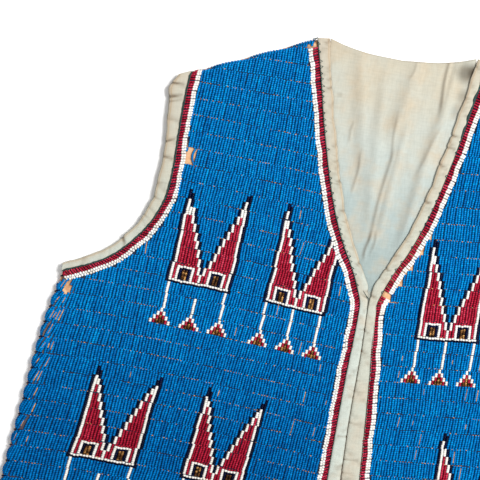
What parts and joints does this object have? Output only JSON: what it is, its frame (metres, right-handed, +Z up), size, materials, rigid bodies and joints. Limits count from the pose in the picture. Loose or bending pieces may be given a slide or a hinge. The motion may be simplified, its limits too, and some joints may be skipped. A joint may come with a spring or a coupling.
{
  "type": "beaded vest",
  "caption": "Fully beaded hide vest with a V neck, laid flat on its back: lane-stitched fronts and back, cotton bindings and a cotton lining behind the neck.",
  "frame": {"origin": "under the middle of the vest, on the surface it lies on", "axes": "+Z up out of the surface, +Y from the hem towards the neck, +X from the wearer's right side to the left side"},
  "size_m": [0.524, 0.5286, 0.0067],
  "materials": {
    "beadwork": "opaque glossy seed beads",
    "hide": "smoked tanned hide and thread, matte",
    "lining": "washed cotton, matte",
    "binding": "worn cotton tape, matte"
  },
  "bodies": {
    "root": {"back": "beadwork", "right_front": "beadwork", "left_front": "beadwork", "back_lining": "lining", "right_front_binding": "binding", "left_front_binding": "binding", "right_armhole_binding": "binding", "left_armhole_binding": "binding", "right_back_armhole_binding": "binding", "left_back_armhole_binding": "binding", "right_hem_binding": "binding", "left_hem_binding": "binding", "back_hem_binding": "binding"}
  },
  "joints": []
}
